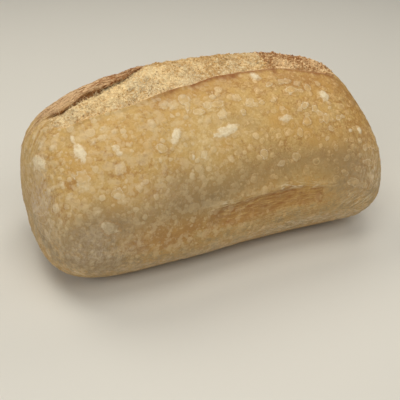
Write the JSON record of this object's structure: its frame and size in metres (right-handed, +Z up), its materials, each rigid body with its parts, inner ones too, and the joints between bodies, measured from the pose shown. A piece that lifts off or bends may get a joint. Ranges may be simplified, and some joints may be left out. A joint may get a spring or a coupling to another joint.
{
  "type": "whole wheat sourdough loaf",
  "caption": "Whole uncut sourdough loaf: a long, chunky, rounded loaf with a flat base, a wide score of torn crumb along the crest and a raised ear at its left end.",
  "frame": {"origin": "on the flat base, in the middle of the loaf's box seen from above", "axes": "+X along the loaf, from the end where the ear starts to the end with the toasted crags; +Z up from the base to the crest; the wide face of crust below the score looks towards -Y"},
  "size_m": [0.2526, 0.1601, 0.1235],
  "materials": {
    "crust": "thin baked crust, golden to tan, satin where it is smooth, with pale round blisters and a light dusting of flour",
    "crumb": "torn, dry, cream-coloured crumb, rough and matte, toasted reddish brown at the right end of the score"
  },
  "bodies": {
    "root": {"loaf": "crust"}
  },
  "joints": []
}
